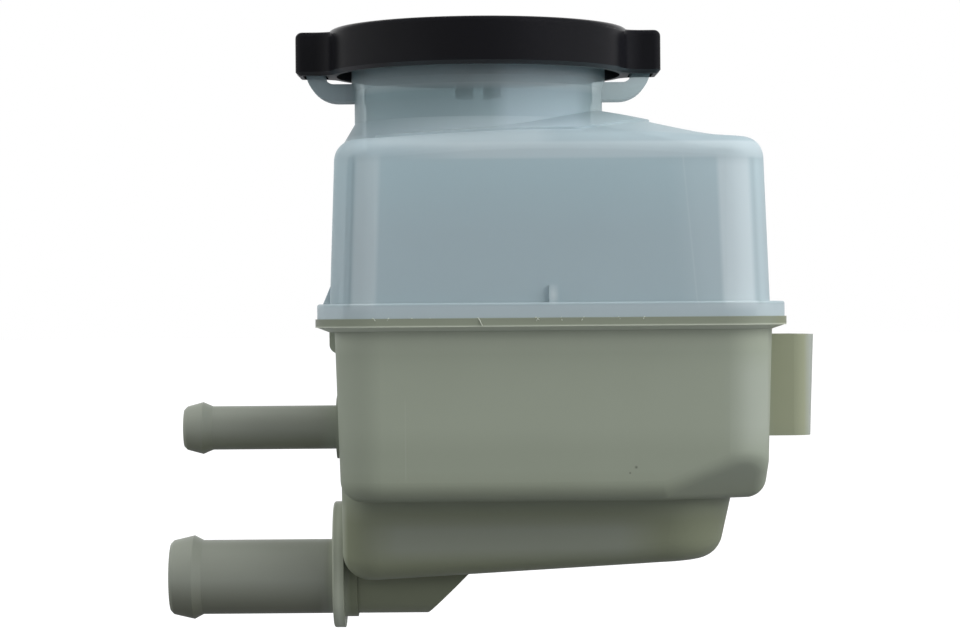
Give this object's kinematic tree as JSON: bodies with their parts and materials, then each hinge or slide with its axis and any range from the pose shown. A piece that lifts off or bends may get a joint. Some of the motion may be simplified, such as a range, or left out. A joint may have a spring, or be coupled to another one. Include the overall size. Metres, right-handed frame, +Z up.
{
  "type": "power steering reservoir",
  "caption": "Welded two-shell plastic reservoir for power steering fluid, with a pull-off cap, two hose nipples and a slip-on bracket sleeve.",
  "frame": {"origin": "centre of the filler neck's mouth, on its rim", "axes": "+Z up along the filler neck, +X towards the bracket sleeve, both hose nipples point along -X, -Y is the side that the picture shows"},
  "size_m": [0.1423, 0.0788, 0.1326],
  "materials": {
    "natural_polypropylene": "translucent moulded, satin",
    "ivory_polypropylene": "milky moulded, satin",
    "black_polypropylene": "moulded, satin",
    "nitrile_rubber": "moulded, matt",
    "white_nylon": "moulded, matt"
  },
  "bodies": {
    "tank": {"upper_shell": "natural_polypropylene", "lower_shell": "ivory_polypropylene", "strainer_frame": "white_nylon", "strainer_mesh": "white_nylon"},
    "cap": {"cap_shell": "black_polypropylene", "cap_gasket": "nitrile_rubber", "vent_insert": "black_polypropylene"}
  },
  "joints": [
    {"name": "cap_lift", "type": "slide", "parent": "tank", "child": "cap", "axis": [0, 0, 1], "range_m": [0, 0.06]}
  ]
}
